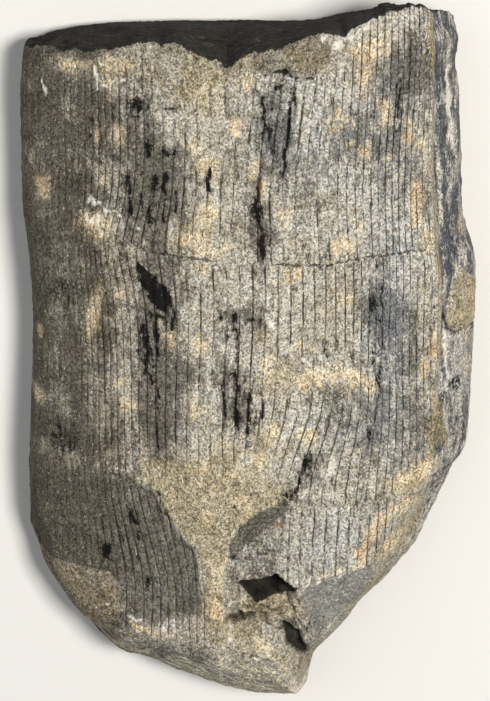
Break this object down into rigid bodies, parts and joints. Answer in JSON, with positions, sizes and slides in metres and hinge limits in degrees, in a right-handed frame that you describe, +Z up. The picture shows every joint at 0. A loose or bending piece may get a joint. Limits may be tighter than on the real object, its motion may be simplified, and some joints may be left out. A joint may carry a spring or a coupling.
{
  "type": "fossil horsetail plate",
  "caption": "Flattened cast of a horsetail stem in siltstone, with fine lengthwise ribs, stem joints and a broken lower tip, lying on its back.",
  "frame": {"origin": "middle of the underside, at the height of the surface that the stone lies on", "axes": "+Y along the stem towards its upper end, +X across the stem, +Z up out of the ribbed face"},
  "size_m": [0.0922, 0.148, 0.03],
  "materials": {
    "siltstone": "dull grey to tan siltstone with a thin black coal film in the grooves"
  },
  "bodies": {
    "root": {"horsetail_plate": "siltstone"}
  },
  "joints": []
}
